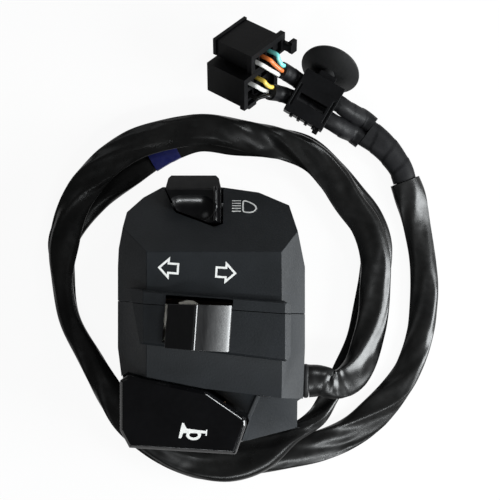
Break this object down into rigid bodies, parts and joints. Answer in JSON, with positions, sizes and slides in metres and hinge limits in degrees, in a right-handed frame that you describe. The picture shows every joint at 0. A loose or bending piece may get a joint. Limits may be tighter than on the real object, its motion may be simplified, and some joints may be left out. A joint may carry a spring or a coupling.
{
  "type": "motorcycle handlebar switch cluster",
  "caption": "Left-hand motorcycle handlebar switch cluster with dimmer rocker, turn signal knob and horn button, a looped sleeved harness, a harness clip and stepped connectors.",
  "frame": {"origin": "bottom centre of the box round the switch cluster, without the harness", "axes": "+Z from the back of the housing to the rider's side, +X along the handlebar to the right as the rider sees it, +Y from the horn button to the dimmer rocker"},
  "size_m": [0.1394, 0.1653, 0.058],
  "materials": {
    "housing_plastic": "fine grained black ABS",
    "gloss_black": "polished black ABS",
    "slider_plastic": "natural acetal",
    "phenolic": "moulded brown phenolic",
    "nylon": "satin black nylon",
    "rubber": "soft black rubber",
    "sleeve_vinyl": "soft shiny vinyl tube",
    "black_tape": "wound vinyl tape",
    "blue_tape": "dark blue vinyl tape",
    "wire_teal": "vinyl insulation",
    "wire_orange": "vinyl insulation",
    "wire_white": "vinyl insulation",
    "wire_yellow": "vinyl insulation",
    "brass": "plain brass",
    "steel": "zinc plated steel"
  },
  "bodies": {
    "housing": {"upper_housing": "housing_plastic", "lower_housing": "housing_plastic", "clamp_screws": "steel", "clamp_inserts": "brass", "cable_grommet": "rubber", "dimmer_pivot_pin": "steel", "dimmer_base": "phenolic", "dimmer_base_screws": "steel", "dimmer_fixed_contacts": "brass", "turn_base": "phenolic", "turn_base_screws": "steel", "turn_fixed_contacts": "brass", "horn_pivot_pin": "steel", "horn_base": "phenolic", "horn_base_screws": "steel", "horn_return_spring": "steel", "horn_fixed_contact": "brass", "harness_sleeve": "sleeve_vinyl", "marker_tape": "blue_tape", "tape_bundle": "black_tape", "branch_upper": "black_tape", "branch_lower": "black_tape", "clip_body": "nylon", "clip_lid": "nylon", "clip_umbrella": "rubber", "connector_upper": "nylon", "connector_lower": "nylon", "terminals_upper": "brass", "terminals_lower": "brass", "wire_teal": "wire_teal", "wire_orange": "wire_orange", "wires_white": "wire_white", "wire_yellow": "wire_yellow", "wire_black": "sleeve_vinyl", "inner_leads": "sleeve_vinyl"},
    "dimmer": {"dimmer_rocker": "gloss_black", "dimmer_wiper": "brass", "dimmer_detent_spring": "steel", "dimmer_detent_ball": "steel"},
    "slider": {"turn_slider": "slider_plastic", "turn_wiper": "brass", "turn_detent_spring": "steel", "turn_detent_ball": "steel", "turn_push_spring": "steel"},
    "knob": {"turn_knob": "gloss_black"},
    "horn": {"horn_button": "gloss_black", "horn_moving_contact": "brass"}
  },
  "joints": [
    {"name": "dimmer_rock", "type": "hinge", "parent": "housing", "child": "dimmer", "pos_m": [-0.0062, 0.0365, 0.03], "axis": [1, 0, 0], "range_deg": [-12, 0]},
    {"name": "turn_slide", "type": "slide", "parent": "housing", "child": "slider", "axis": [0.9976, -0.0698, 0], "range_m": [-0.0035, 0.0035]},
    {"name": "turn_push", "type": "slide", "parent": "slider", "child": "knob", "axis": [0, 0, -1], "range_m": [0, 0.0015], "stiffness_N_per_m": 600, "springref_m": -0.001, "deforming": ["turn_push_spring"]},
    {"name": "horn_press", "type": "hinge", "parent": "housing", "child": "horn", "pos_m": [-0.0246, -0.0306, 0.0422], "axis": [0, 1, 0], "range_deg": [0, 4], "stiffness_Nm_per_rad": 0.25, "springref_deg": -2.01, "deforming": ["horn_return_spring"]}
  ]
}
